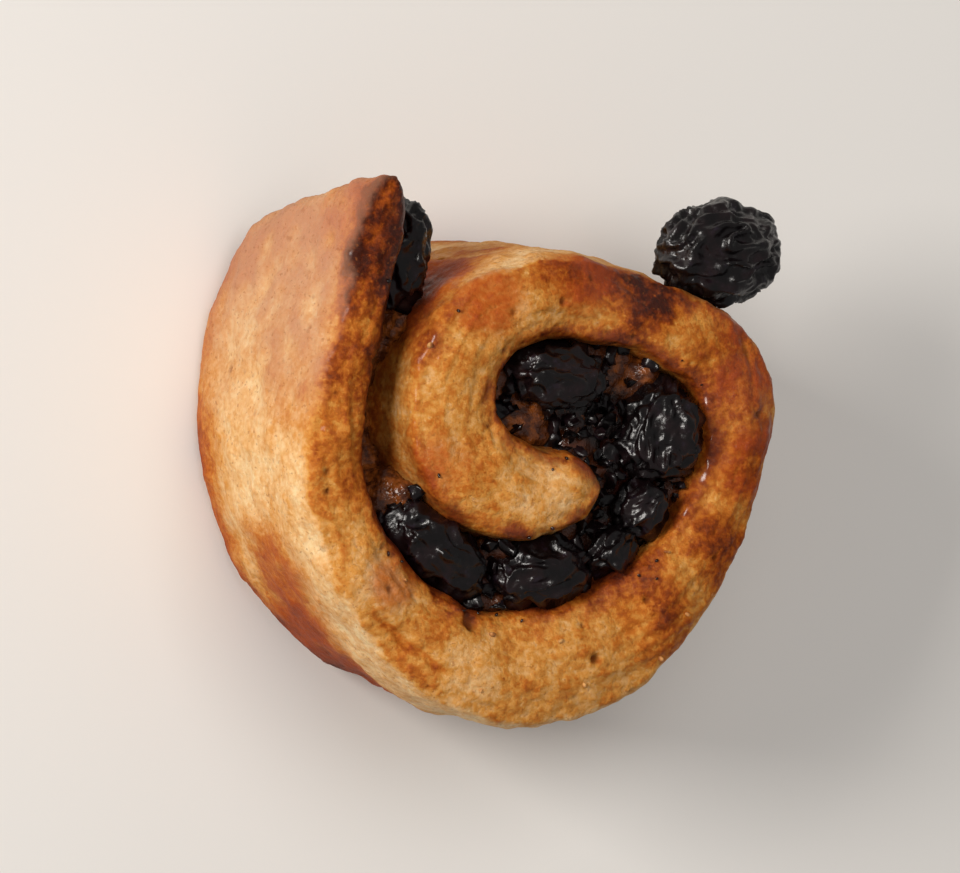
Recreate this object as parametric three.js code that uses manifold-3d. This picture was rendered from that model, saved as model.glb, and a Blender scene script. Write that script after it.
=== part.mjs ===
// A raisin swirl pastry: one slice of a dough strip that was spread with raisins and rolled up,
// lying on its flat cut face with the swirl upwards. Millimetres, +Z up.
// The origin is the middle of the base. The strip, the sticky filling between its turns and
// each raisin that shows are separate solids.
import * as THREE from 'three';
import { mergeVertices } from 'three/addons/utils/BufferGeometryUtils.js';
import { SimplexNoise } from 'three/addons/math/SimplexNoise.js';
import Module from 'manifold-3d';

// ---- Driving dimensions, in millimetres and degrees ------------------------------------------
const SLICE_HEIGHT = 23; // along the roll's axis, at the outer turn
const CORE_RISE = 1.6; // how far the middle of the swirl baked up above the outer turn
const CROWN = 2.4; // height of the strip's rounded upper edge
const BASE_CORNER = 1.1; // rounding where the wall meets the flat base
const WALL_PUFF = 0.35; // how far the walls swell out at mid height
const TIP_ROUND = 3.0; // length over which the inner tip rounds off
const END_ROUND = 2.0; // the same at the strip's outer end
const END_DROP = 0.07; // share of the height by which the strip is lower at its two ends
const END_SLANT = 5.5; // how much further the outer end reaches at the top than at the base
const SLANT_START = 0.88; // share of the strip's length at which that slant sets in
const SLANT_PIVOT = 0.5; // share of the height at which the slanted end keeps its place
const END_FOOT = 5; // how far the outer end's foot is rounded back besides
const FOOT_HEIGHT = 0.18; // share of the height that this rounding takes up

// The coil: where the inner tip lies round the axis, and how far the strip turns at each step.
const TIP_BEARING = -56;
const COIL_STEP = 29.6;
// Distance of the strip's middle from the axis, and its thickness, step by step from the tip.
const COIL_RADII = [
  6.7, 6.3, 6.8, 8.3, 9.2, 9.5, 9.7, 9.4, 9.7, 11.9, 16.7, 17.3, 18.0, 19.8, 20.4, 20.1, 19.5, 19.2, 23.0,
];
const THICKNESSES = [
  6.0, 6.6, 7.8, 8.6, 8.4, 8.0, 7.4, 7.0, 6.4, 5.8, 7.2, 6.2, 7.4, 9.6, 8.6, 6.6, 5.6, 5.0, 4.0,
];
// How far its upper edge leans out and its foot in, step by step from the tip.
const LEANS = [0, 0, 0, 0, 0, 0, 0, 0, 0, 0, 0, 0, 0.2, 0.5, 1.0, 0.7, 0.4, -0.3, 0];

// Clearance between solids that touch in the real pastry.
const CONTACT_GAP = 0.35;
const RELIEF = 0.32; // how far the broad lumps of the crust stand out or sink in
const CRAGS = 0.16; // the same for the small crags
const LUMP_SIZE = 7.5;
const CRAG_SIZE = 2.8;
const RELIEF_STRETCH = 1.2; // how much taller than wide the lumps and crags are
const CROWN_RELIEF = 1.6; // how much more uneven the rounded upper edge is

// The filling lies in the swirl's hollow core and between the turns.
const FILLING_END = 514; // where it stops, turned from the tip's bearing
const FILLING_BASE = 1.5; // height of its underside above the base
const FILLING_RECESS = 2.6; // depth of its top below the strip's upper edge
const FILLING_DIP = 5; // how much deeper it lies in the empty stretch by the loose end
const DIP_LEFT = [11, 16]; // the dip sets in and is full at these distances left of the axis
const DIP_FRONT = [-8.5, -4]; // and at these places along Y
const FILLING_LUMPS = 0.6; // how far its top stands up or sinks in
const FILLING_LUMP_SIZE = 3;

// The raisins that show, measured from the roll's axis. at: plan position. level: height of the
// middle. size: length, width and height. yaw: bearing of the long axis.
const RAISINS = [
  { name: 'raisin_core', at: [0.5, 3.0], level: 21.8, size: [8.2, 5.0, 5.4], yaw: -8 },
  { name: 'raisin_mouth', at: [10.4, -1.9], level: 21.2, size: [8.2, 7.6, 6.2], yaw: 60 },
  { name: 'raisin_small', at: [8.5, -8.0], level: 20.8, size: [4.6, 4.2, 4.8], yaw: 40 },
  { name: 'raisin_corner', at: [6.0, -11.6], level: 20.6, size: [4.6, 3.8, 4.6], yaw: 30 },
  { name: 'raisin_front', at: [-0.5, -13.0], level: 20.9, size: [8.6, 5.2, 5.4], yaw: 4 },
  { name: 'raisin_left', at: [-9.8, -10.8], level: 20.5, size: [10.4, 5.8, 5.6], yaw: -38 },
  { name: 'raisin_end', at: [-11.8, 12.8], level: 17.0, size: [9.6, 4.6, 7.6], yaw: 78 },
  { name: 'raisin_outside', at: [16.6, 12.4], level: 19.0, size: [11.2, 8.4, 7.6], yaw: 8 },
  { name: 'raisin_under_core', at: [-0.1, 1.6], level: 2.9, size: [7.6, 5.4, 5.0], yaw: 50 },
  { name: 'raisin_under_mouth', at: [9.8, -4.4], level: 3.1, size: [8.6, 6.0, 5.2], yaw: -70 },
  { name: 'raisin_under_front', at: [0.9, -12.6], level: 2.8, size: [9.2, 5.0, 4.8], yaw: 6 },
  { name: 'raisin_under_left', at: [-12.0, -7.0], level: 3.0, size: [7.8, 4.4, 5.0], yaw: -58 },
];
const WRINKLE_DEPTH = 0.15; // of a raisin's half width
const WRINKLES = 1.15; // furrows along a raisin's half length
const WRINKLE_STRETCH = 1.4; // how much closer together they lie across it
const FURROW_STEEPNESS = 2.2;
const ROOM_AROUND = 0.63; // between a raisin and the filling

// ---- Fineness of the facets ------------------------------------------------------------------
const STRIP_STEP = 1.8;
const SECTION_SPACING = 1.7;
const FILLING_CELL = 1.6;
const RAISIN_DETAIL = 3;
const CUTTER_DETAIL = 1;
const FILLING_BORDER = 60; // pieces of the filling's outline
const PULL_STEP = 0.03; // share of its radius by which a raisin's point is pulled in at a time
const LEAST_PULLED = 0.1;
const WALL_SAMPLES = 300; // places along the strip where a raisin's distance to it is measured
const SEED = 11;

THREE.MathUtils.seededRandom(SEED);
const noise = new SimplexNoise({ random: () => THREE.MathUtils.seededRandom() });
const wasm = await Module();
wasm.setup();

// ---- The strip's line and thickness ----------------------------------------------------------
// A smooth function of 0 to 1 that passes through evenly spaced values.
function smoothThrough(values) {
  const line = new THREE.SplineCurve(values.map((v, i) => new THREE.Vector2(i, v)));
  return (t) => line.getPoint(THREE.MathUtils.clamp(t, 0, 1)).y;
}

// The point at some radius, turned clockwise from the inner tip's bearing.
function polar(turn, radius) {
  const bearing = THREE.MathUtils.degToRad(TIP_BEARING - turn);
  return new THREE.Vector2(radius * Math.cos(bearing), radius * Math.sin(bearing));
}

const stripLine = new THREE.SplineCurve(COIL_RADII.map((r, i) => polar(COIL_STEP * i, r)));
stripLine.arcLengthDivisions = 800;
const stripLength = stripLine.getLength();
const stripThickness = smoothThrough(THICKNESSES);
const stripLean = smoothThrough(LEANS);
const coilTurn = COIL_STEP * (COIL_RADII.length - 1);

// Roundness of an end: 0 at its very edge, 1 from some length inwards.
function roundOff(distance, length) {
  const t = THREE.MathUtils.clamp(distance / length, 0, 1);
  return Math.sqrt(1 - (1 - t) * (1 - t));
}

// The strip at a distance along it: its middle, directions, half thickness, lean and upper edge.
function stripAt(distance) {
  const along = THREE.MathUtils.clamp(distance / stripLength, 0, 1);
  const step = stripLine.getUtoTmapping(along);
  const tangent = stripLine.getTangent(step);
  const beyond = distance - along * stripLength;
  const taper = Math.min(roundOff(distance, TIP_ROUND), roundOff(stripLength - distance, END_ROUND));
  return {
    along,
    middle: stripLine.getPoint(step).addScaledVector(tangent, beyond),
    tangent,
    outward: new THREE.Vector2(-tangent.y, tangent.x),
    half: (stripThickness(step) / 2) * taper,
    lean: stripLean(step),
    height: (SLICE_HEIGHT + CORE_RISE * (1 - along) ** 2) * (1 - END_DROP * (1 - taper)),
  };
}

// The walls swell a little at mid height.
function puffAt(up) {
  return WALL_PUFF * Math.sin(Math.PI * up);
}

// ---- Solids ----------------------------------------------------------------------------------
function toSolid(geometry) {
  const bare = new THREE.BufferGeometry();
  bare.setAttribute('position', geometry.getAttribute('position'));
  bare.setIndex(geometry.getIndex());
  const merged = mergeVertices(bare, 1e-4);
  return new wasm.Manifold(new wasm.Mesh({
    numProp: 3,
    vertProperties: merged.attributes.position.array,
    triVerts: new Uint32Array(merged.index.array),
  }));
}

function toGeometry(solid) {
  const mesh = solid.getMesh();
  return new THREE.BufferGeometry()
    .setAttribute('position', new THREE.BufferAttribute(mesh.vertProperties, 3))
    .setIndex(new THREE.BufferAttribute(mesh.triVerts, 1));
}

// A closed body through rings of equal point counts, each end closed by a fan.
function loft(rings) {
  const size = rings[0].length;
  const points = rings.flat();
  const faces = [];
  for (let r = 0; r < rings.length - 1; r++) {
    for (let i = 0; i < size; i++) {
      const a = r * size + i;
      const b = r * size + ((i + 1) % size);
      faces.push(a, b, b + size, a, b + size, a + size);
    }
  }
  for (const [first, flip] of [[0, true], [(rings.length - 1) * size, false]]) {
    const ring = points.slice(first, first + size);
    const hub = points.length;
    points.push(ring.reduce((sum, p) => sum.add(p), new THREE.Vector3()).divideScalar(size));
    for (let i = 0; i < size; i++) {
      const j = (i + 1) % size;
      faces.push(hub, first + (flip ? j : i), first + (flip ? i : j));
    }
  }
  return new THREE.BufferGeometry().setFromPoints(points).setIndex(faces);
}

// ---- The dough strip -------------------------------------------------------------------------
// The strip's cut section, as shares of its half thickness (-1 to 1) and of its height (0 to 1):
// a flat base with rounded corners, straight walls and a rounded upper edge.
function crustOutline() {
  const half = THICKNESSES.reduce((sum, t) => sum + t, 0) / THICKNESSES.length / 2;
  const side = new THREE.Path();
  side.moveTo(0, 0);
  side.lineTo(half - BASE_CORNER, 0);
  side.quadraticCurveTo(half, 0, half, BASE_CORNER);
  side.lineTo(half, SLICE_HEIGHT - CROWN);
  side.absellipse(0, SLICE_HEIGHT - CROWN, half, CROWN, 0, Math.PI / 2, false);
  const right = side.getSpacedPoints(Math.round(side.getLength() / SECTION_SPACING));
  const left = right.slice(1, -1).map((p) => new THREE.Vector2(-p.x, p.y)).reverse();
  return [...right, ...left].map((p) => ({ across: p.x / half, up: p.y / SLICE_HEIGHT }));
}

// Lumps and crags of the crust at a point, outwards.
function crustRelief(point) {
  const at = (size, shift) => noise.noise3d(
    point.x / size + shift, point.y / size, point.z / size / RELIEF_STRETCH);
  return RELIEF * at(LUMP_SIZE, 0) + CRAGS * at(CRAG_SIZE, 40);
}

// One cut through the strip. grow widens it, and relief is 1 for the lumpy crust or 0 for none.
function stripRing(distance, outline, grow, relief) {
  const { along, middle, tangent, outward, half, lean, height } = stripAt(distance);
  const nearEnd = THREE.MathUtils.smoothstep(along, SLANT_START, 1);
  const crownStart = 1 - (1.4 * CROWN) / SLICE_HEIGHT;
  return outline.map(({ across, up }) => {
    const offset = across * (half + puffAt(up) + grow) + lean * (2 * up - 1);
    const foot = END_FOOT * (1 - THREE.MathUtils.smoothstep(up, 0, FOOT_HEIGHT));
    const onward = nearEnd * (END_SLANT * (up - SLANT_PIVOT) - foot);
    const point = new THREE.Vector3(middle.x, middle.y, up * height);
    point.x += outward.x * offset + tangent.x * onward;
    point.y += outward.y * offset + tangent.y * onward;
    const bump = relief * crustRelief(point);
    const crown = THREE.MathUtils.smoothstep(up, crownStart, 1);
    const aboveBase = Math.min(1, point.z / (2.5 * BASE_CORNER));
    const sideways = Math.sign(across) * bump * (1 - crown) * aboveBase;
    point.x += outward.x * sideways;
    point.y += outward.y * sideways;
    point.z += bump * crown * CROWN_RELIEF;
    return point;
  });
}

function stripSolid(outline, step, grow, relief) {
  const ends = [0.12 - grow, 0.6, 1.5];
  const count = Math.round(stripLength / step);
  const between = Array.from({ length: count - 3 }, (_, i) => (stripLength * (i + 2)) / count);
  const distances = [...ends, ...between, ...ends.map((d) => stripLength - d).reverse()];
  return toSolid(loft(distances.map((d) => stripRing(d, outline, grow, relief))));
}

// ---- Raisins ---------------------------------------------------------------------------------
const wallClearance = CONTACT_GAP + RELIEF + CRAGS;
const wallSamples = Array.from({ length: WALL_SAMPLES + 1 }, (_, i) =>
  stripAt((stripLength * i) / WALL_SAMPLES));

// Plan distance from a point to the strip's nearest wall at that height.
function wallDistance(x, y, up) {
  let nearest = Infinity;
  for (const s of wallSamples) {
    const shift = s.lean * (2 * up - 1);
    const dx = x - s.middle.x - s.outward.x * shift;
    const dy = y - s.middle.y - s.outward.y * shift;
    nearest = Math.min(nearest, Math.hypot(dx, dy) - s.half - puffAt(up));
  }
  return nearest;
}

// An oval on a raisin's place. Its points are pulled in until they clear the strip.
function ovalSolid({ at, level, size, yaw }, detail, grow, surface) {
  const shape = new THREE.IcosahedronGeometry(1, detail);
  const position = shape.getAttribute('position');
  const point = new THREE.Vector3();
  const upAxis = new THREE.Vector3(0, 0, 1);
  const [length, width, tall] = size;
  for (let i = 0; i < position.count; i++) {
    point.fromBufferAttribute(position, i);
    point.multiplyScalar(surface(point));
    point.multiply(new THREE.Vector3(length / 2 + grow, width / 2 + grow, tall / 2 + grow));
    point.applyAxisAngle(upAxis, THREE.MathUtils.degToRad(yaw));
    const z = Math.max(level + point.z, CONTACT_GAP - grow);
    const up = THREE.MathUtils.clamp(z / SLICE_HEIGHT, 0, 1);
    let keep = 1;
    const x = () => at[0] + point.x * keep;
    const y = () => at[1] + point.y * keep;
    while (keep > LEAST_PULLED && wallDistance(x(), y(), up) < wallClearance - grow) keep -= PULL_STEP;
    position.setXYZ(i, x(), y(), z);
  }
  return toSolid(shape);
}

// Furrows of a dried grape: narrow valleys between rounded folds.
function raisinSolid(spec, seed) {
  const furrows = (p) => {
    const crosswise = WRINKLES * WRINKLE_STRETCH;
    const fold = noise.noise3d(p.x * WRINKLES + seed, p.y * crosswise, p.z * crosswise);
    return 1 - WRINKLE_DEPTH * (1 - Math.min(1, Math.abs(fold) * FURROW_STEEPNESS));
  };
  return ovalSolid(spec, RAISIN_DETAIL, 0, furrows);
}

// The room that a raisin takes in the filling.
function raisinRoom(spec) {
  return ovalSolid(spec, CUTTER_DETAIL, ROOM_AROUND, () => 1);
}

// ---- The filling -----------------------------------------------------------------------------
// A lumpy slab inside the outer turn's middle line, less the strip and the raisins.
function makeFilling() {
  const turnShare = (turn) => turn / coilTurn;
  const first = turnShare(FILLING_END - 360);
  const last = turnShare(FILLING_END);
  const border = [];
  for (let i = 0; i <= FILLING_BORDER; i++) {
    border.push(stripLine.getPoint(THREE.MathUtils.lerp(first, last, i / FILLING_BORDER)));
  }
  const prism = new THREE.ExtrudeGeometry(new THREE.Shape(border), {
    depth: SLICE_HEIGHT,
    bevelEnabled: false,
    steps: 1,
  });

  const across = 2 * Math.max(...COIL_RADII);
  const cells = Math.round(across / FILLING_CELL);
  const depth = SLICE_HEIGHT - FILLING_RECESS - FILLING_BASE;
  const slab = new THREE.BoxGeometry(across, across, depth, cells, cells, 1);
  slab.translate(0, 0, FILLING_BASE + depth / 2);
  const position = slab.getAttribute('position');
  for (let i = 0; i < position.count; i++) {
    if (position.getZ(i) < SLICE_HEIGHT / 2) continue;
    const x = position.getX(i);
    const y = position.getY(i);
    const inDip = THREE.MathUtils.smoothstep(-x, ...DIP_LEFT) * THREE.MathUtils.smoothstep(y, ...DIP_FRONT);
    const lump = noise.noise3d(x / FILLING_LUMP_SIZE, y / FILLING_LUMP_SIZE, 7);
    position.setZ(i, position.getZ(i) - FILLING_DIP * inDip + FILLING_LUMPS * lump);
  }

  const heights = [0, 0.25, 0.5, 0.75, 1.05];
  const wallOutline = [
    ...heights.map((up) => ({ across: 1, up })),
    ...heights.map((up) => ({ across: -1, up })).reverse(),
  ];
  let body = toSolid(slab).intersect(toSolid(prism));
  body = body.subtract(stripSolid(wallOutline, STRIP_STEP, wallClearance, 0));
  for (const spec of RAISINS) body = body.subtract(raisinRoom(spec));
  return body.decompose().reduce((a, b) => (a.volume() > b.volume() ? a : b));
}

// ---- The pastry ------------------------------------------------------------------------------
const crust = new THREE.MeshStandardMaterial({ color: '#c98a4e', roughness: 0.75, metalness: 0 });
const syrup = new THREE.MeshStandardMaterial({ color: '#3a1a12', roughness: 0.35, metalness: 0 });
const raisinSkin = new THREE.MeshStandardMaterial({ color: '#241a1c', roughness: 0.4, metalness: 0 });

const pastry = new THREE.Group();

function addNode(name, solid, material) {
  const mesh = new THREE.Mesh(toGeometry(solid), material);
  mesh.name = name;
  pastry.add(mesh);
}

const SEED_STEP = 13.7; // moves each raisin to its own stretch of noise
addNode('dough', stripSolid(crustOutline(), STRIP_STEP, 0, 1), crust);
addNode('filling', makeFilling(), syrup);
RAISINS.forEach((spec, i) => addNode(spec.name, raisinSolid(spec, i * SEED_STEP), raisinSkin));

// The origin goes to the middle of the base.
const middle = new THREE.Box3().setFromObject(pastry).getCenter(new THREE.Vector3());
pastry.position.set(-middle.x, -middle.y, 0);

export default pastry;
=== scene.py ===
# A raisin swirl pastry: a slice of a baked dough strip, rolled up with raisins and dark sugar,
# lying on one cut face with the swirl upwards. Metres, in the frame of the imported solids.
import math
from types import SimpleNamespace

import bmesh
import bpy
from mathutils import Matrix, Vector, bvhtree, noise


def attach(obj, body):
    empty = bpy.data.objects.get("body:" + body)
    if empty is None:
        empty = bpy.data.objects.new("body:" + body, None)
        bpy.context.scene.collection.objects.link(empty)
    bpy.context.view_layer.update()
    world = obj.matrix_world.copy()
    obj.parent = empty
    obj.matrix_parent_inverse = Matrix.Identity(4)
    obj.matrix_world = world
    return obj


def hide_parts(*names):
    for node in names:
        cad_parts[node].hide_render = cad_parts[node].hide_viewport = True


noise.seed_set(3)  # noise_vector takes its offsets from the clock otherwise
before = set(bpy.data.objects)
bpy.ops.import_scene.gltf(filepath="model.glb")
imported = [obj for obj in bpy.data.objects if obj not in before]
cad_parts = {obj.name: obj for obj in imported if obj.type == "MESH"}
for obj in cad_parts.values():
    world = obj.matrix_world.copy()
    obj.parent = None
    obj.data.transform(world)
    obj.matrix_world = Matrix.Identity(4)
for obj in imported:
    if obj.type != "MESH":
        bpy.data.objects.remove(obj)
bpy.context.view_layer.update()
MM = 0.001

# ---- Studio ----------------------------------------------------------------------------------
# A pale paper sweep, a window-like light low on the left and a camera that looks down on the
# swirl. It is rolled so that the outer wall shows along the left, as in the photograph.
CAMERA_DISTANCE = 1.35
CAMERA_ELEVATION = 63
CAMERA_BEARING = 170
FRAME_WIDTH = 0.078
AIM = Vector((-0.0022, 0.0006, 0.014))


def direction(bearing, elevation):
    turn, rise = math.radians(bearing), math.radians(elevation)
    flat = math.cos(rise)
    return Vector((flat * math.cos(turn), flat * math.sin(turn), math.sin(rise)))


def facing(place, target, up):
    back = (place - target).normalized()
    right = up.cross(back).normalized()
    top = back.cross(right)
    turn = Matrix((right, top, back)).transposed().to_4x4()
    return Matrix.Translation(place) @ turn


camera = bpy.data.objects.new("camera", bpy.data.cameras.new("camera"))
bpy.context.scene.collection.objects.link(camera)
camera.data.lens = camera.data.sensor_width * CAMERA_DISTANCE / FRAME_WIDTH
camera.data.clip_start = 0.1
camera.matrix_world = facing(
    AIM + CAMERA_DISTANCE * direction(CAMERA_BEARING, CAMERA_ELEVATION), AIM, Vector((0, 1, 0))
)
bpy.context.scene.camera = camera


def softbox(name, bearing, elevation, distance, size, watts, tint):
    lamp = bpy.data.objects.new(name, bpy.data.lights.new(name, "AREA"))
    lamp.data.size = size
    lamp.data.energy = watts
    lamp.data.color = tint
    bpy.context.scene.collection.objects.link(lamp)
    place = AIM + distance * direction(bearing, elevation)
    lamp.matrix_world = facing(place, AIM, Vector((0, 0, 1)))


softbox("window", bearing=163, elevation=28, distance=0.60, size=0.21, watts=3.2,
        tint=(1.0, 0.96, 0.91))
softbox("ceiling", bearing=110, elevation=70, distance=0.80, size=0.45, watts=2.2,
        tint=(1.0, 0.97, 0.94))
bpy.data.objects["ceiling"].visible_glossy = False  # its reflection would veil the raisins grey

ROOM_TINT = (0.90, 0.89, 0.88, 1)
ROOM_STRENGTH = 0.25
world = bpy.data.worlds.new("room")
world.use_nodes = True
background = world.node_tree.nodes["Background"].inputs
background["Color"].default_value = ROOM_TINT
background["Strength"].default_value = ROOM_STRENGTH
bpy.context.scene.world = world
bpy.context.scene.view_settings.view_transform = "Standard"


def linear(hex_colour):
    parts = [int(hex_colour[i:i + 2], 16) / 255 for i in (1, 3, 5)]
    return (*[p / 12.92 if p <= 0.04045 else ((p + 0.055) / 1.055) ** 2.4 for p in parts], 1)


# Adds a node with its settings; a link's key is the input's name, its number or its identifier.
def add(tree, kind, links=None, **settings):
    node = tree.nodes.new(kind)
    for name, value in settings.items():
        setattr(node, name, value)
    for socket, source in (links or {}).items():
        if isinstance(source, bpy.types.NodeSocket):
            tree.links.new(source, node.inputs[socket])
        else:
            node.inputs[socket].default_value = source
    return node


def new_material(name):
    material = bpy.data.materials.new(name)
    material.use_nodes = True
    material.node_tree.nodes.clear()
    return material, material.node_tree


# Matt photo paper: an even pale ground without a gloss.
paper, tree = new_material("matt_paper")
shader = add(tree, "ShaderNodeBsdfPrincipled", {"Base Color": linear("#ebe8e4"), "Roughness": 0.9})
add(tree, "ShaderNodeOutputMaterial", {"Surface": shader.outputs["BSDF"]})

FLOOR_WIDTH = 6
bpy.ops.mesh.primitive_plane_add(size=FLOOR_WIDTH)
floor = bpy.context.object
floor.name = "floor"
floor.data.materials.append(paper)

# ---- The baked dough strip -------------------------------------------------------------------
# Rich sweet dough, 4 to 10 mm thick, rolled up and cut across before baking. Its sheet side baked
# to a smooth pale skin with small blisters and pits. The cut face is browner and faintly layered.
MERGE_DISTANCE = 0.001 * MM
DOUGH_VOXEL = 0.26 * MM
KEPT_FACES = 0.6
ROLL_AXIS = Vector((0.29, 2.94, 0.0))
FILLING_TOP = 19.0
GAP_WIDTH = 6.0  # syrup stain and painted shade darken the walls that face each other at less than this

# Fades: where something goes from none to all, by how level the surface is, by height, by distance
# from the filling, or by place on the swirl.
CUT_FACE = (0.5, 0.8)
SHOULDER_IN, SHOULDER_OUT = (0.15, 0.6), (0.7, 0.95)
UPPER_HALF, RIM, FOOT, GAP_DEPTH = (13.0, 20.0), (19.5, 23.0), (0.5, 6.0), (5.0, 11.0)
SOAKED, WET, SYRUP_EDGE = (0.5, 1.9), (1.2, 3.4), (0.7, 2.9)
LOOSE_END_X, LOOSE_END_Y = (-11.0, -13.0), (4.0, 14.0)
# The third is where the foot's painted shade deepens, along y.
OUTER_TURN, ROSY_END, SHADED_FOOT_SIDE = (15.0, 18.0), (-4.0, 12.0), (2.0, -14.0)

# How far apart the swells, grains and blisters of the crust lie, in millimetres.
BROAD_SWELLS, SWELLS, SEEPS, GRAINS, BLISTERS = 6.0, 2.2, 2.6, 0.8, 1.9
LAYER_PITCH = 0.55  # of the dough's fine layers, across the strip
LAYER_WAVES = 4.0

# How high they stand, or how deep they are, in millimetres.
BROAD_SWELL, SWELL, BLISTER, SHOULDER = 0.26, 0.13, 0.36, 0.3
GRAIN_ON_SKIN, GRAIN_ON_CUT, LAYER = 0.05, 0.1, 0.17
PORE, CARAMEL_PIT, CREASE = 0.36, 0.7, 0.35
FLAT_BASE = (0.0, 1.5)  # heights between which the relief grows from a fifth to all of this

# How brown the crust is at each place, from 0 for pale to 1 for burnt; the gap's share is syrup
# and painted shade, the crease's painted shade.
SKIN_BROWN, CUT_BROWN = 0.2, 0.44
FOOT_BROWN, LOOSE_END_BROWN, LOOSE_RIM_BROWN = 0.55, 0.42, 0.36
INNER_WALL_BROWN, GAP_SYRUP_AND_SHADE, SYRUP_EDGE_BROWN, CREASE_SHADE = 0.25, 0.3, 0.25, 0.2
BROAD_MOTTLE, MOTTLE, GRAIN_MOTTLE, SHOULDER_BROWN, LAYER_BROWN = 0.14, 0.12, 0.06, 0.06, 0.07

# Places on the swirl, measured from the roll's axis in millimetres: x, y, radius. The browned
# ones also have how much browner they are than the crust round them, or paler.
CARAMEL_PITS = ((-7.5, -16.6, 1.0), (3.4, -20.0, 0.6))
BROWNED = (
    (-7.0, 9.4, 3.6, 0.08), (-1.0, 11.4, 2.6, 0.12), (2.4, 11.2, 4.0, 0.38), (8.0, 9.8, 5.0, 0.48),
    (-10.4, -3.8, 2.4, 0.02), (-2.0, -6.8, 5.5, -0.16), (17.0, 3.4, 6.0, 0.3),
    (18.0, -4.6, 5.5, 0.36), (15.0, -11.6, 4.5, 0.28), (8.6, -16.6, 5.0, 0.2),
    (-5.0, -19.8, 6.5, -0.1), (-15.5, -13.0, 4.5, -0.14), (-7.4, -15.4, 2.2, 0.2),
    (-18.2, 4.0, 5.5, 0.22), (-18.6, -3.0, 5.0, 0.17), (-19.0, -9.0, 3.0, -0.02),
)
# The first three, low on the outer wall towards negative x and y, are painted shade over the foot.
# The fourth, on the core's back wall, is syrup and painted shade; the rest are browning.
WALL_BROWNING_AND_SHADE = (  # x, y, height, radius, how much browner
    (-19.2, -13.5, 12.0, 8.0, 0.36), (-14.0, -19.6, 8.0, 8.5, 0.6), (-9.0, -22.5, 8.0, 7.0, 0.36),
    (-9.0, 10.8, 17.0, 6.5, 0.6), (-4.0, 13.0, 14.0, 7.0, 0.25), (-17.5, 17.5, 19.0, 5.0, 0.16),
    (19.5, -6.0, 9.0, 8.0, 0.2), (6.0, -21.0, 5.0, 7.0, 0.2), (16.0, 11.0, 12.0, 8.0, 0.25),
    (3.0, 14.0, 5.0, 8.0, 0.2), (-21.5, -2.0, 3.0, 5.0, 0.15), (-22.0, 1.0, 19.5, 5.0, 0.12),
)
REDDENED = (
    (-6.4, 9.6, 4.5), (-10.6, -3.4, 3.0), (2.0, 11.4, 4.5), (17.6, 4.0, 5.5), (18.2, -4.0, 5.0),
    (-14.6, -12.6, 3.5),
)
BOILED_OVER = ((6.0, 11.0, 6.5), (16.5, 1.0, 6.0))  # where syrup boiled over onto the cut face
SUGARY = (  # where brown sugar shows between the raisins and in the gap by the loose end
    (9.0, 4.0, 5.4), (-1.8, -0.6, 3.8), (-13.8, -5.0, 3.6), (-13.4, 0.5, 5.0), (-12.6, 6.0, 4.0),
)
CREASE_RADIUS = 22.6
CREASE_FROM, CREASE_TO = math.radians(-140), math.radians(-112)
CREASE_FLOOR = 18
CREASE_ENDS = 0.12  # radians in which it runs out


def copy_of(node, name):
    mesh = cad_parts[node].data.copy()
    mesh.materials.clear()
    loose = bmesh.new()
    loose.from_mesh(mesh)
    bmesh.ops.remove_doubles(loose, verts=loose.verts, dist=MERGE_DISTANCE)
    loose.to_mesh(mesh)
    loose.free()
    piece = bpy.data.objects.new(name, mesh)
    bpy.context.scene.collection.objects.link(piece)
    return piece


def settle(piece):
    graph = bpy.context.evaluated_depsgraph_get()
    mesh = bpy.data.meshes.new_from_object(piece.evaluated_get(graph), depsgraph=graph)
    piece.modifiers.clear()
    piece.data = mesh
    mesh.name = piece.name


def remesh(piece, voxel):
    rounded = piece.modifiers.new("rounded", "SUBSURF")
    rounded.levels = rounded.render_levels = 2
    grid = piece.modifiers.new("grid", "REMESH")
    grid.mode = "VOXEL"
    grid.voxel_size = voxel
    grid.use_smooth_shade = True
    settle(piece)


def thin_out(piece, share):
    fewer = piece.modifiers.new("fewer", "DECIMATE")
    fewer.ratio = share
    settle(piece)
    piece.data.shade_smooth()


def clamped(value):
    return min(1.0, max(0.0, value))


def smoothstep(low, high, value):
    t = clamped((value - low) / (high - low))
    return t * t * (3 - 2 * t)


def mix(a, b, share):
    return a + (b - a) * share


def surface_of(nodes):
    points, faces = [], []
    for name in nodes:
        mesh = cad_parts[name].data
        first = len(points)
        points += [v.co / MM for v in mesh.vertices]
        faces += [[first + i for i in p.vertices] for p in mesh.polygons]
    return bvhtree.BVHTree.FromPolygons(points, faces)


# Small round holes: the nearest of scattered centres, each with its own size.
def pores(point, spacing, smallest, largest, share):
    distances, centres = noise.voronoi(point / spacing)
    luck = noise.cell(centres[0] * 37.1) * 0.5 + 0.5
    if luck > share:
        return 0.0
    radius = mix(smallest, largest, luck / share)
    return 1 - smoothstep(0.35 * radius, radius, distances[0] * spacing)


# The crease along the outer turn's upper edge, where the skin pulled off the layer below.
def crease(flat, height):
    bearing = math.atan2(flat.y, flat.x)
    if not CREASE_FROM < bearing < CREASE_TO or height < CREASE_FLOOR:
        return 0.0
    middle = CREASE_RADIUS + 0.5 * noise.noise(Vector((bearing * 9, 0, 0)))
    ends = min(bearing - CREASE_FROM, CREASE_TO - bearing) / CREASE_ENDS
    return (1 - smoothstep(0.1, 0.55, abs(flat.length - middle))) * min(1.0, ends)


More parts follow.
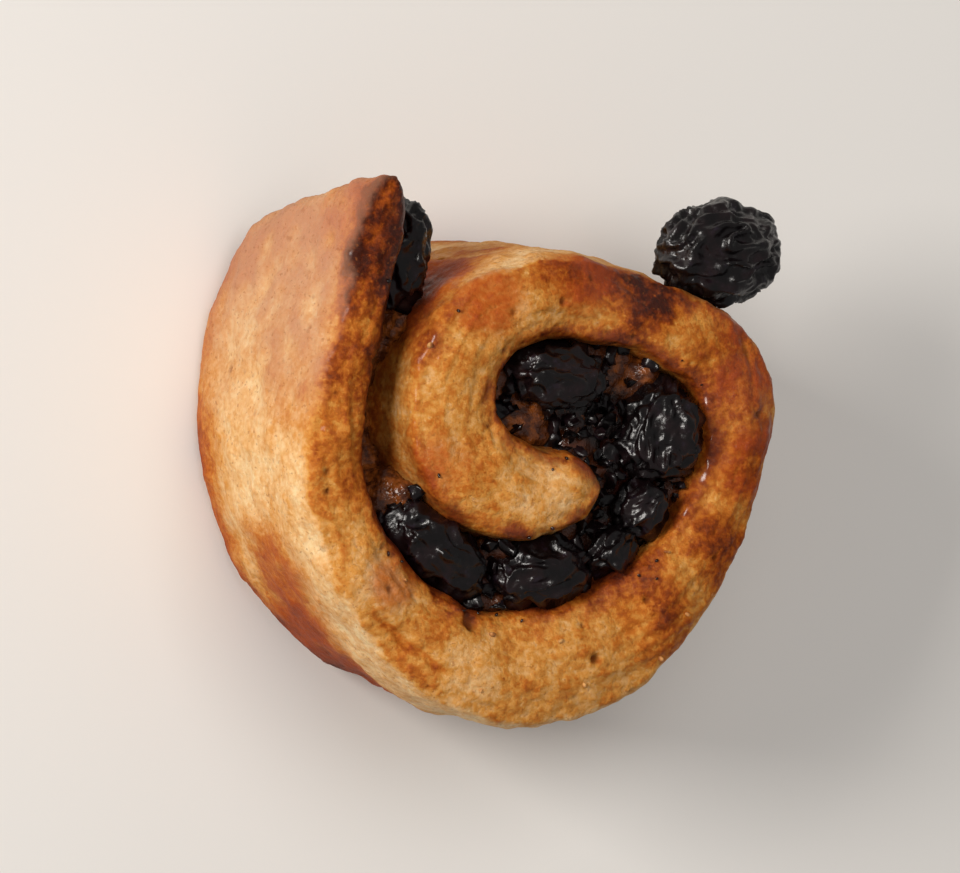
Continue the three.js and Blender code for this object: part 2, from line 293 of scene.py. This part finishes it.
# The dough's layers: long thin lines that run along the strip, round the roll's axis.
def layers(flat, height):
    way = flat.normalized() * 2.2
    waves = Vector((flat.x / LAYER_WAVES, flat.y / LAYER_WAVES, height / LAYER_WAVES))
    bend = 0.8 * noise.noise(waves)
    return noise.noise(Vector((flat.length / LAYER_PITCH + bend, way.x, way.y)))


def nearness(point, *centre, radius):
    return 1 - smoothstep(0.25, 1.0, (point - Vector(centre)).length / radius)


def nearest_spot(flat, spots):
    return max(nearness(flat, x, y, radius=radius) for x, y, radius in spots)


def sugariness(point):
    return nearest_spot((point - ROLL_AXIS).xy, SUGARY)


raisin_nodes = sorted(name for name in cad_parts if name.startswith("raisin"))
sticky = surface_of(["filling", *raisin_nodes])
dough_wall = surface_of(["dough"])


def no_higher_than_filling(point):
    return Vector((point.x, point.y, min(point.z, FILLING_TOP)))


# How closely another turn of the strip stands over this place of a wall, or under its shoulder;
# the gap's painted shade follows it.
def enclosed(point, normal):
    level = Vector((normal.x, normal.y, 0.0)).normalized()
    distance = dough_wall.ray_cast(no_higher_than_filling(point) + level, level, GAP_WIDTH)[3]
    return 0.0 if distance is None else 1 - smoothstep(0.5, 1.0, distance / GAP_WIDTH)


# What the colour and the relief of the crust depend on at one place.
def surroundings(point, normal):
    here = SimpleNamespace(flat=(point - ROLL_AXIS).xy, level=abs(normal.z))
    here.broad = noise.noise(point / BROAD_SWELLS)
    here.middling = noise.noise(point / SWELLS + Vector((9, 0, 0)))
    here.grain = noise.fractal(point / GRAINS, 0.6, 2.0, 3)
    here.cut = smoothstep(*CUT_FACE, here.level + 0.12 * here.middling + 0.08 * here.grain)
    here.shoulder = smoothstep(*SHOULDER_IN, here.level)
    here.shoulder *= 1 - smoothstep(*SHOULDER_OUT, here.level)
    here.upper = smoothstep(*UPPER_HALF, point.z)
    here.top_cut = here.upper * smoothstep(0.2, 0.6, normal.z)
    here.outside = smoothstep(-0.2, 0.2, normal.xy @ here.flat)
    here.fold = crease(here.flat, point.z)
    here.layers = layers(here.flat, point.z)
    here.loose_end = smoothstep(*LOOSE_END_Y, here.flat.y) * smoothstep(*LOOSE_END_X, here.flat.x)
    here.rim = smoothstep(*RIM, point.z + 1.6 * here.middling) * (1 - here.cut)
    return here


# Syrup soaks in beside the filling, runs down in the gap (there also painted shade), and wets the
# rim where it boiled over.
def add_syrup(here, point, normal):
    seeping = max(0.0, noise.noise(point / SEEPS + Vector((0, 5, 0))))
    distance = sticky.find_nearest(no_higher_than_filling(point))[3]
    here.reach = distance + 0.7 * here.middling + 0.35 * here.grain - 1.6 * seeping
    rise = smoothstep(FILLING_TOP - 2.0, FILLING_TOP + 3.0, point.z)
    soaked = (1 - smoothstep(*SOAKED, here.reach)) * mix(1.0, 0.85, rise)
    here.in_gap = enclosed(point, normal) * smoothstep(*GAP_DEPTH, point.z)
    # Syrup and painted shade: walls that another turn closes in are darkened.
    run_down_and_shade = here.in_gap * (1 - smoothstep(0.2, 0.55, here.level)) * (1 + 0.8 * here.middling)
    here.stain = min(1.0, max(soaked, 0.5 * run_down_and_shade)) * (1 - 0.6 * sugariness(point))
    over = sum(nearness(here.flat, x, y, radius=radius) for x, y, radius in BOILED_OVER)
    over = min(1.0, over + 0.4 * here.middling) * here.upper * here.cut
    wet = max(1 - smoothstep(*WET, here.reach), over)
    here.glaze = min(1.0, wet * mix(0.3, 1.0, here.cut) + 0.15 * here.upper * here.cut)


# The oven browned the rims, the foot and the spots that stood out, and left the loose end rosy.
# Some of this darkening is painted shade: in the gaps, in the crease, on the foot towards negative
# y and on some walls.
def add_browning(here, point, normal):
    uncut = 1 - here.cut
    spots = sum(more * nearness(here.flat, x, y, radius=radius) for x, y, radius, more in BROWNED)
    syrup_edge = 1 - smoothstep(*SYRUP_EDGE, here.reach)
    # The crease is painted darker: painted shade in it.
    spots += SYRUP_EDGE_BROWN * syrup_edge + CREASE_SHADE * here.fold
    spots += LOOSE_END_BROWN * here.loose_end
    foot = (1 - smoothstep(*FOOT, point.z + 2.5 * here.middling)) * uncut
    # Painted shade: the foot grows darker from y = 2 to y = -14 mm.
    foot *= mix(0.45, 1.0, smoothstep(*SHADED_FOOT_SIDE, here.flat.y))
    # The walls in the wall table: browned, and in part painted shade.
    placed = point - ROLL_AXIS + 1.5 * here.middling * normal
    wall_brown_and_shade = sum(
        more * nearness(placed, x, y, z, radius=radius) for x, y, z, radius, more in WALL_BROWNING_AND_SHADE
    )
    brown = mix(SKIN_BROWN, CUT_BROWN, here.cut) + spots * mix(0.25, 1.0, here.top_cut)
    brown += FOOT_BROWN * foot + BROAD_MOTTLE * here.broad + MOTTLE * here.middling
    brown += GRAIN_MOTTLE * here.grain + SHOULDER_BROWN * here.shoulder
    brown += LAYER_BROWN * here.layers * here.cut
    # The gap's share is syrup and painted shade between the turns; the inner walls' share is
    # syrup.
    brown += (INNER_WALL_BROWN * (1 - here.outside) + GAP_SYRUP_AND_SHADE * here.in_gap + wall_brown_and_shade) * uncut
    here.browning = clamped(brown + LOOSE_RIM_BROWN * here.rim * here.loose_end)
    # The painted-shade walls and the foot's shaded side are reddened too.
    red = max(nearest_spot(here.flat, REDDENED) * here.top_cut, foot, 1.8 * wall_brown_and_shade * uncut)
    here.reddened = clamped(red * (1 + 1.5 * here.middling))
    rosy = smoothstep(*ROSY_END, here.flat.y + 6 * here.broad) * (0.9 + 0.5 * here.middling)
    rosy = min(1.0, rosy) * (1 - 0.6 * here.rim * here.loose_end)
    here.blush = rosy * uncut * here.outside * smoothstep(*OUTER_TURN, here.flat.length)


def add_pits(here, point):
    on_skin = pores(point, spacing=3.4, smallest=0.25, largest=0.55, share=0.4)
    on_cut = pores(point, spacing=2.0, smallest=0.2, largest=0.5, share=0.4)
    here.hole = mix(on_skin, on_cut, here.cut)
    here.caramel_pit = nearest_spot(here.flat, CARAMEL_PITS) * here.upper * here.cut
    here.pits = max(here.hole, here.caramel_pit)


def crust_height(here, point):
    blister = max(0.0, noise.noise(point / BLISTERS + Vector((0, 31, 0)))) ** 1.4
    height = BROAD_SWELL * here.broad + SWELL * here.middling
    height += SHOULDER * here.shoulder * here.upper
    height += BLISTER * blister * mix(1.0, 0.6, here.cut)
    height += here.grain * mix(GRAIN_ON_SKIN, GRAIN_ON_CUT, here.cut)
    height += LAYER * here.layers * here.cut
    height -= PORE * here.hole + CARAMEL_PIT * here.caramel_pit + CREASE * here.fold
    return height


MARKS = ("browning", "reddened", "blush", "stain", "glaze", "pits")


def shape_crust(piece):
    marks = {name: [] for name in MARKS}
    for vertex, normal in [(v, v.normal.copy()) for v in piece.data.vertices]:
        point = vertex.co / MM
        here = surroundings(point, normal)
        add_syrup(here, point, normal)
        add_browning(here, point, normal)
        add_pits(here, point)
        for name in MARKS:
            marks[name].append(getattr(here, name))
        height = crust_height(here, point)
        vertex.co += normal * height * MM * mix(0.2, 1.0, smoothstep(*FLAT_BASE, point.z))
        vertex.co.z = max(vertex.co.z, 0.0)
    for name, values in marks.items():
        piece.data.attributes.new(name, "FLOAT", "POINT").data.foreach_set("value", values)


dough = copy_of("dough", "dough_strip")
remesh(dough, DOUGH_VOXEL)
shape_crust(dough)
thin_out(dough, KEPT_FACES)
for vertex in dough.data.vertices:
    vertex.co.z = max(vertex.co.z, 0.0)


# Cloudy patches of one size, as a share from 0 to the given most.
def patches(tree, place, size_mm, low, high, most=1.0, detail=4.0):
    inputs = {"Vector": place, "Scale": 1 / (size_mm * MM), "Detail": detail, "Roughness": 0.55}
    cloud = add(tree, "ShaderNodeTexNoise", inputs).outputs["Fac"]
    spread = {"Value": cloud, "From Min": low, "From Max": high, "To Min": 0.0, "To Max": most}
    fade = add(tree, "ShaderNodeMapRange", spread, interpolation_type="SMOOTHSTEP")
    return fade.outputs["Result"]


# Coats over a ground colour, one after another, each with the share that it covers.
def coats(tree, ground, *layers_over):
    for share, colour in layers_over:
        links = {0: share, 6: ground, 7: colour}
        ground = add(tree, "ShaderNodeMix", links, data_type="RGBA").outputs[2]
    return ground


# Baked sweet dough: a dry satin skin, from cream over gold and orange to red-brown where it
# browned, and wet dark red-brown where syrup soaked in.
crust, tree = new_material("baked_sweet_dough")
place = add(tree, "ShaderNodeTexCoord").outputs["Object"]
browning, reddened, blush, stain, glaze, pits = [
    add(tree, "ShaderNodeAttribute", attribute_name=name).outputs["Fac"] for name in MARKS
]
MOTTLING_MEAN = 0.13  # what the speckle and the cloud add on average
speckle = patches(tree, place, size_mm=0.5, low=0.35, high=0.65, most=0.15, detail=6.0)
cloud = patches(tree, place, size_mm=1.8, low=0.38, high=0.62, most=0.12, detail=3.0)
pale_flecks = patches(tree, place, size_mm=0.55, low=0.58, high=0.70, most=-0.12, detail=5.0)
evened = add(tree, "ShaderNodeMath", {0: browning, 1: MOTTLING_MEAN}, operation="SUBTRACT")
tone = evened.outputs[0]
for mottling in (speckle, cloud, pale_flecks):
    tone = add(tree, "ShaderNodeMath", {0: tone, 1: mottling}, operation="ADD").outputs[0]
baked = add(tree, "ShaderNodeValToRGB", {"Fac": tone})
steps = ((0.0, "#edcd9a"), (0.2, "#e2b074"), (0.4, "#d18f40"), (0.56, "#bb6a20"),
         (0.72, "#94430c"), (0.88, "#602306"), (1.0, "#3c1304"))
while len(baked.color_ramp.elements) < len(steps):
    baked.color_ramp.elements.new(0.5)
for stop, (position, colour) in zip(baked.color_ramp.elements, steps):
    stop.position = position
    stop.color = linear(colour)
ROSIEST, TOASTIEST = 0.85, 0.55
rosy = add(tree, "ShaderNodeMath", {0: blush, 1: ROSIEST}, operation="MULTIPLY").outputs[0]
toasty = add(tree, "ShaderNodeMath", {0: reddened, 1: TOASTIEST}, operation="MULTIPLY").outputs[0]
thick_syrup = patches(tree, place, size_mm=1.6, low=0.42, high=0.6)
syrupy = coats(tree, linear("#7a3212"), (thick_syrup, linear("#48190c")))
flecks = patches(tree, place, size_mm=1.1, low=0.60, high=0.72, most=0.35, detail=6.0)
freckles = patches(tree, place, size_mm=0.36, low=0.61, high=0.68, most=0.45, detail=3.0)
body = coats(
    tree, baked.outputs["Color"],
    (rosy, linear("#b98265")),
    (toasty, linear("#ac4614")),
    (flecks, linear("#8f4a1c")),
    (freckles, linear("#93501f")),
    # Pores painted darker inside, as painted shade; the caramel pits hold caramel.
    (pits, linear("#76390f")),
    # Syrup stain, and on the gap walls painted shade as well.
    (stain, syrupy),
)

CRUMB_GRAIN = 0.5 * MM  # about 0.2 in real dough, drawn coarser so that it shows
BUBBLE_SIZE = 0.8 * MM
BUBBLE_SHARE = -0.35
grain = add(tree, "ShaderNodeTexNoise", {
    "Vector": place, "Scale": 1 / CRUMB_GRAIN, "Detail": 8.0, "Roughness": 0.7})
bubbles = add(tree, "ShaderNodeTexVoronoi", {"Vector": place, "Scale": 1 / BUBBLE_SIZE})
uneven = add(tree, "ShaderNodeMath", {
    0: bubbles.outputs["Distance"], 1: BUBBLE_SHARE, 2: grain.outputs["Fac"],
}, operation="MULTIPLY_ADD")
relief = add(tree, "ShaderNodeBump", {
    "Height": uneven.outputs[0], "Distance": 0.24 * MM, "Strength": 0.9})
sheen = patches(tree, place, size_mm=0.9, low=0.40, high=0.62, most=0.35, detail=6.0)
glossy = add(tree, "ShaderNodeMath", {0: glaze, 1: sheen}, operation="ADD").outputs[0]
wetness = add(tree, "ShaderNodeMapRange", {
    "Value": glossy, "From Min": 0.1, "From Max": 1.1, "To Min": 0.64, "To Max": 0.3})
sticky_coat = add(tree, "ShaderNodeMapRange", {
    "Value": glossy, "From Min": 0.35, "From Max": 1.2, "To Min": 0.0, "To Max": 0.7})
shader = add(tree, "ShaderNodeBsdfPrincipled", {
    "Base Color": body,
    "Roughness": wetness.outputs["Result"],
    "Specular IOR Level": 0.16,
    "Coat Weight": sticky_coat.outputs["Result"],
    "Coat Roughness": 0.2,
    "Normal": relief.outputs["Normal"],
    "Subsurface Weight": 0.1,
    "Subsurface Radius": (1.0, 0.45, 0.2),
    "Subsurface Scale": 1.0 * MM,
})
add(tree, "ShaderNodeOutputMaterial", {"Surface": shader.outputs["BSDF"]})

dough.data.materials.append(crust)
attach(dough, "root")
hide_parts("dough")

# ---- The filling -----------------------------------------------------------------------------
# Brown sugar, spice and crushed raisins, boiled to a black sticky mass that clings to the strip
# on both sides. It is swollen here until it meets the dough, with a lumpy glossy top.
FILLING_VOXEL = 0.3 * MM
TOP_SWELL, SIDE_SWELL = 0.25, 1.15
CLIMB = 0.6  # how far it creeps up the dough
CLINGING, SURFACE, THIN_RIM = (0.3, 1.6), (14.0, 17.0), (0.6, 2.4)
LUMP, FINE_LUMP = 0.5, 0.45
LUMP_SPACING, FINE_LUMP_SPACING = 2.2, 0.9
FILLING_FLOOR = 0.3 * MM  # it stays just clear of what the pastry lies on

filling = copy_of("filling", "sugar_filling")
remesh(filling, FILLING_VOXEL)
thinness, sugar_share = [], []
for vertex, normal in [(v, v.normal.copy()) for v in filling.data.vertices]:
    point = vertex.co / MM
    sideways = 1 - abs(normal.z)
    lumps = LUMP * noise.noise(point / LUMP_SPACING)
    lumps += FINE_LUMP * abs(noise.noise(point / FINE_LUMP_SPACING))
    vertex.co += normal * (mix(TOP_SWELL, SIDE_SWELL, sideways) + lumps) * MM
    to_wall = dough_wall.find_nearest(point)[3]
    climb = CLIMB * (1 - smoothstep(*CLINGING, to_wall)) * smoothstep(*SURFACE, point.z)
    vertex.co.z += climb * MM
    vertex.co.z = max(vertex.co.z, FILLING_FLOOR)
    thinness.append(1 - smoothstep(*THIN_RIM, to_wall + noise.noise(point / 1.3)))
    sugar_share.append(sugariness(point + 1.5 * noise.noise_vector(point / 1.6)))
for name, values in (("thin", thinness), ("sugary", sugar_share)):
    filling.data.attributes.new(name, "FLOAT", "POINT").data.foreach_set("value", values)

# Boiled sugar: as smooth and shiny as glass, near black, and red-brown where it is thin.
syrup, tree = new_material("boiled_sugar_and_spice")
place = add(tree, "ShaderNodeTexCoord").outputs["Object"]
thin, sugary = [
    add(tree, "ShaderNodeAttribute", attribute_name=name).outputs["Fac"]
    for name in ("thin", "sugary")
]
clouds = patches(tree, place, size_mm=1.5, low=0.45, high=0.68)
molten = patches(tree, place, size_mm=0.9, low=0.36, high=0.6)
undissolved = patches(tree, place, size_mm=0.7, low=0.6, high=0.72, most=0.8)
dark = coats(
    tree, linear("#120908"),
    (clouds, linear("#34130b")),
    (thin, linear("#45210f")),
    (sugary, coats(tree, linear("#84461a"), (molten, linear("#421d0a")))),
    (undissolved, linear("#6a3a17")),
)
seeds = add(tree, "ShaderNodeTexNoise", {
    "Vector": place, "Scale": 1 / (0.55 * MM), "Detail": 3.0, "Roughness": 0.55})
beads = add(tree, "ShaderNodeBump", {
    "Height": seeds.outputs["Fac"], "Distance": 0.4 * MM, "Strength": 0.85})
shader = add(tree, "ShaderNodeBsdfPrincipled", {
    "Base Color": dark,
    "Roughness": 0.18,
    "IOR": 1.49,
    "Normal": beads.outputs["Normal"],
    "Coat Weight": 0.4,
    "Coat Roughness": 0.08,
})
add(tree, "ShaderNodeOutputMaterial", {"Surface": shader.outputs["BSDF"]})
filling.data.materials.append(syrup)
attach(filling, "root")
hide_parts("filling")

# ---- The raisins -----------------------------------------------------------------------------
# Dried dark grapes. Drying drew their skin into narrow ridges that mostly run lengthwise, and the
# oven made it black and shiny. Where one lies close to the dough it is stuck flat against it.
RAISIN_VOXEL = 0.17 * MM
RIDGE, FINE_RIDGE, DENT, SHRINKAGE = 0.52, 0.18, 0.45, 0.12
RIDGE_SPACING, FINE_RIDGE_SPACING, DENT_SPACING = 1.25, 0.7, 3.2
RIDGE_WIDTH = (0.0, 0.4)
WAVINESS, WAVE_LENGTH = 0.45, 1.5
STRETCH, FINE_STRETCH = 0.32, 1.5  # how far the ridges are drawn out along the raisin
STUCK, STICKING_DISTANCE = 0.5, 1.3

# Grape skin: thin, tough and close to black, with faint bluish patches that are a bloom and
# painted bluish highlights.
skin, tree = new_material("raisin_skin")
place = add(tree, "ShaderNodeTexCoord").outputs["Object"]
ruddy = patches(tree, place, size_mm=1.8, low=0.42, high=0.65)
# Bluish patches: a bloom, and painted bluish highlights.
bloom_and_glint = patches(tree, place, size_mm=0.9, low=0.58, high=0.76, most=0.22, detail=5.0)
tone = coats(tree, linear("#080405"), (ruddy, linear("#170b0d")), (bloom_and_glint, linear("#332d42")))
folds = add(tree, "ShaderNodeTexNoise", {
    "Vector": place, "Scale": 1 / (0.4 * MM), "Detail": 4.0, "Roughness": 0.55})
wrinkles = add(tree, "ShaderNodeBump", {
    "Height": folds.outputs["Fac"], "Distance": 0.12 * MM, "Strength": 0.7})
shader = add(tree, "ShaderNodeBsdfPrincipled", {
    "Base Color": tone,
    "Roughness": 0.3,
    "IOR": 1.45,
    "Specular IOR Level": 0.4,
    "Normal": wrinkles.outputs["Normal"],
    "Coat Weight": 0.3,
    "Coat Roughness": 0.12,
})
add(tree, "ShaderNodeOutputMaterial", {"Surface": shader.outputs["BSDF"]})


# A raisin's middle, in millimetres, and the bearing of its long axis.
def long_axis(mesh):
    centre = sum((v.co for v in mesh.vertices), Vector()) / len(mesh.vertices)
    xx = xy = yy = 0.0
    for vertex in mesh.vertices:
        x, y = (vertex.co - centre).xy
        xx, xy, yy = xx + x * x, xy + x * y, yy + y * y
    return centre / MM, 0.5 * math.atan2(2 * xy, xx - yy)


for index, name in enumerate(raisin_nodes):
    raisin = copy_of(name, name + "_skin")
    centre, turn = long_axis(raisin.data)
    remesh(raisin, RAISIN_VOXEL)
    lengthwise = Matrix.Rotation(-turn, 3, "Z")
    seed = Vector((7.3, 3.1, 1.7)) * index
    for vertex, normal in [(v, v.normal.copy()) for v in raisin.data.vertices]:
        point = vertex.co / MM
        local = lengthwise @ (point - centre)
        dent = max(0.0, noise.noise(local / DENT_SPACING + seed))
        local += WAVINESS * noise.noise_vector(local / WAVE_LENGTH + seed)
        local.x *= STRETCH
        ridge = 1 - smoothstep(*RIDGE_WIDTH, abs(noise.noise(local / RIDGE_SPACING + seed)))
        local.x *= FINE_STRETCH
        fine = 1 - smoothstep(*RIDGE_WIDTH, abs(noise.noise(local / FINE_RIDGE_SPACING - seed)))
        point += normal * (RIDGE * ridge + FINE_RIDGE * fine - DENT * dent - SHRINKAGE)
        stuck, _, _, gap = dough_wall.find_nearest(point)
        point = point.lerp(stuck, 0.9 * (1 - smoothstep(STUCK, STICKING_DISTANCE, gap)))
        vertex.co = Vector((point.x, point.y, max(point.z, 0.0))) * MM
    raisin.data.materials.append(skin)
    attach(raisin, "root")
    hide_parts(name)

# ---- Crushed raisins, specks and crumbs ------------------------------------------------------
# Small loose things that stuck while the sugar was hot: bits of crushed raisin all over the
# filling, specks of the filling on the dough beside it, and crumbs that fell from the cut face.
SCRAP_SPACING, SCRAP_RADIUS, SCRAP_LUMPS = 1.1 * MM, 0.7 * MM, 2.0 * MM
SPECK_SPACING, SPECK_RADIUS, SPECK_LUMPS = 1.2 * MM, 0.2 * MM, 0.2 * MM
CRUMB_SPACING, CRUMB_RADIUS, CRUMB_LUMPS = 2.6 * MM, 0.27 * MM, 0.5 * MM
SCRAP_SEED, SPECK_SEED, CRUMB_SEED = 4, 7, 9
MOST_PER_SQUARE_METRE = 4.0e6
SMALLEST, LARGEST = (0.5, 0.4, 0.3), (1.7, 1.2, 0.8)  # length, width and height, by the radius
NO_TURN, FULL_TURN = (0.0, 0.0, 0.0), (6.28, 6.28, 6.28)
STANDS_OUT = 0.35  # by the radius
LUMP_SIZE = 0.8 * MM


# A tree that strews small lumps over a surface where its "strewn" attribute allows.
def strewing(name, facets, lump_depth, finish):
    tree = bpy.data.node_groups.new(name, "GeometryNodeTree")
    sizes = (("Surface", "Geometry"), ("Spacing", "Float"), ("Radius", "Float"), ("Seed", "Int"))
    for label, kind in sizes:
        tree.interface.new_socket(label, in_out="INPUT", socket_type="NodeSocket" + kind)
    tree.interface.new_socket("Strewn", in_out="OUTPUT", socket_type="NodeSocketGeometry")
    given = add(tree, "NodeGroupInput").outputs
    allowed = add(tree, "GeometryNodeInputNamedAttribute", {"Name": "strewn"}, data_type="FLOAT")
    spread = add(tree, "GeometryNodeDistributePointsOnFaces", {
        "Mesh": given["Surface"],
        "Distance Min": given["Spacing"],
        "Density Max": MOST_PER_SQUARE_METRE,
        "Density Factor": allowed.outputs["Attribute"],
        "Seed": given["Seed"],
    }, distribute_method="POISSON")
    ball = add(tree, "GeometryNodeMeshIcoSphere", {"Radius": 1.0, "Subdivisions": facets})
    size = add(tree, "FunctionNodeRandomValue", {
        0: SMALLEST, 1: LARGEST, "Seed": given["Seed"]}, data_type="FLOAT_VECTOR")
    size = add(tree, "ShaderNodeVectorMath", {
        0: size.outputs[0], "Scale": given["Radius"]}, operation="SCALE")
    turn = add(tree, "FunctionNodeRandomValue", {
        0: NO_TURN, 1: FULL_TURN, "Seed": given["Seed"]}, data_type="FLOAT_VECTOR")
    lift = add(tree, "ShaderNodeVectorMath", {
        0: spread.outputs["Normal"], "Scale": given["Radius"]}, operation="SCALE")
    lift = add(tree, "ShaderNodeVectorMath", {
        0: lift.outputs[0], "Scale": STANDS_OUT}, operation="SCALE")
    lifted = add(tree, "GeometryNodeSetPosition", {
        "Geometry": spread.outputs["Points"], "Offset": lift.outputs[0]})
    placed = add(tree, "GeometryNodeInstanceOnPoints", {
        "Points": lifted.outputs["Geometry"],
        "Instance": ball.outputs["Mesh"],
        "Rotation": turn.outputs[0],
        "Scale": size.outputs[0],
    })
    real = add(tree, "GeometryNodeRealizeInstances", {"Geometry": placed.outputs["Instances"]})
    where = add(tree, "GeometryNodeInputPosition").outputs["Position"]
    rough = add(tree, "ShaderNodeTexNoise", {
        "Vector": where, "Scale": 1 / LUMP_SIZE, "Detail": 2.0})
    middle = add(tree, "ShaderNodeVectorMath", {
        0: rough.outputs["Color"], 1: (0.5, 0.5, 0.5)}, operation="SUBTRACT")
    push = add(tree, "ShaderNodeVectorMath", {
        0: middle.outputs[0], "Scale": lump_depth}, operation="SCALE")
    lumpy = add(tree, "GeometryNodeSetPosition", {
        "Geometry": real.outputs["Geometry"], "Offset": push.outputs[0]})
    made = add(tree, "GeometryNodeSetMaterial", {
        "Geometry": lumpy.outputs["Geometry"], "Material": finish})
    add(tree, "NodeGroupOutput", {"Strewn": made.outputs["Geometry"]})
    return tree


def strew(name, tree, ground, allowed, spacing, radius, seed):
    layer = ground.data.attributes.new("strewn", "FLOAT", "POINT")
    layer.data.foreach_set("value", [allowed(v.co / MM, v.normal) for v in ground.data.vertices])
    piece = bpy.data.objects.new(name, ground.data.copy())
    ground.data.attributes.remove(ground.data.attributes["strewn"])
    bpy.context.scene.collection.objects.link(piece)
    maker = piece.modifiers.new("strewn", "NODES")
    maker.node_group = tree
    inputs = [item for item in tree.interface.items_tree if item.in_out == "INPUT"]
    sockets = {item.name: item.identifier for item in inputs}
    maker[sockets["Spacing"]] = spacing
    maker[sockets["Radius"]] = radius
    maker[sockets["Seed"]] = seed
    settle(piece)
    piece.data.shade_smooth()
    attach(piece, "root")


def on_filling(point, normal):
    level = smoothstep(0.35, 0.7, normal.z)
    at_top = smoothstep(17.0, 18.5, point.z)
    return level * at_top * (1 - 0.8 * sugariness(point))


def beside_filling(point, normal):
    level = smoothstep(0.4, 0.8, normal.z)
    beside = 1 - smoothstep(0.8, 3.2, sticky.find_nearest(no_higher_than_filling(point))[3])
    patchy = smoothstep(-0.1, 0.3, noise.noise(point / 3.0 + Vector((3, 8, 1))))
    return level * beside * patchy


def on_top(point, normal):
    level = smoothstep(0.6, 0.9, normal.z)
    at_top = smoothstep(20.0, 21.5, point.z)
    patchy = smoothstep(0.15, 0.4, noise.noise(point / 4.0 + Vector((1, 2, 9))))
    return level * at_top * patchy * 0.5


# Crumbs: torn dough, dry and matt, golden to brown.
crumb, tree = new_material("dough_crumb")
place = add(tree, "ShaderNodeTexCoord").outputs["Object"]
browner = patches(tree, place, size_mm=1.5, low=0.4, high=0.62)
gold = coats(tree, linear("#d9a260"), (browner, linear("#8d4c1e")))
rough = add(tree, "ShaderNodeTexNoise", {"Vector": place, "Scale": 1 / (0.2 * MM), "Detail": 3.0})
torn = add(tree, "ShaderNodeBump", {"Height": rough.outputs["Fac"], "Distance": 0.08 * MM})
shader = add(tree, "ShaderNodeBsdfPrincipled", {
    "Base Color": gold, "Roughness": 0.7, "Normal": torn.outputs["Normal"]})
add(tree, "ShaderNodeOutputMaterial", {"Surface": shader.outputs["BSDF"]})

strew("crushed_raisins", strewing("strew_scraps", 2, SCRAP_LUMPS, skin), filling, on_filling,
      SCRAP_SPACING, SCRAP_RADIUS, SCRAP_SEED)
strew("filling_specks", strewing("strew_specks", 1, SPECK_LUMPS, syrup), dough, beside_filling,
      SPECK_SPACING, SPECK_RADIUS, SPECK_SEED)
strew("dough_crumbs", strewing("strew_crumbs", 2, CRUMB_LUMPS, crumb), dough, on_top,
      CRUMB_SPACING, CRUMB_RADIUS, CRUMB_SEED)
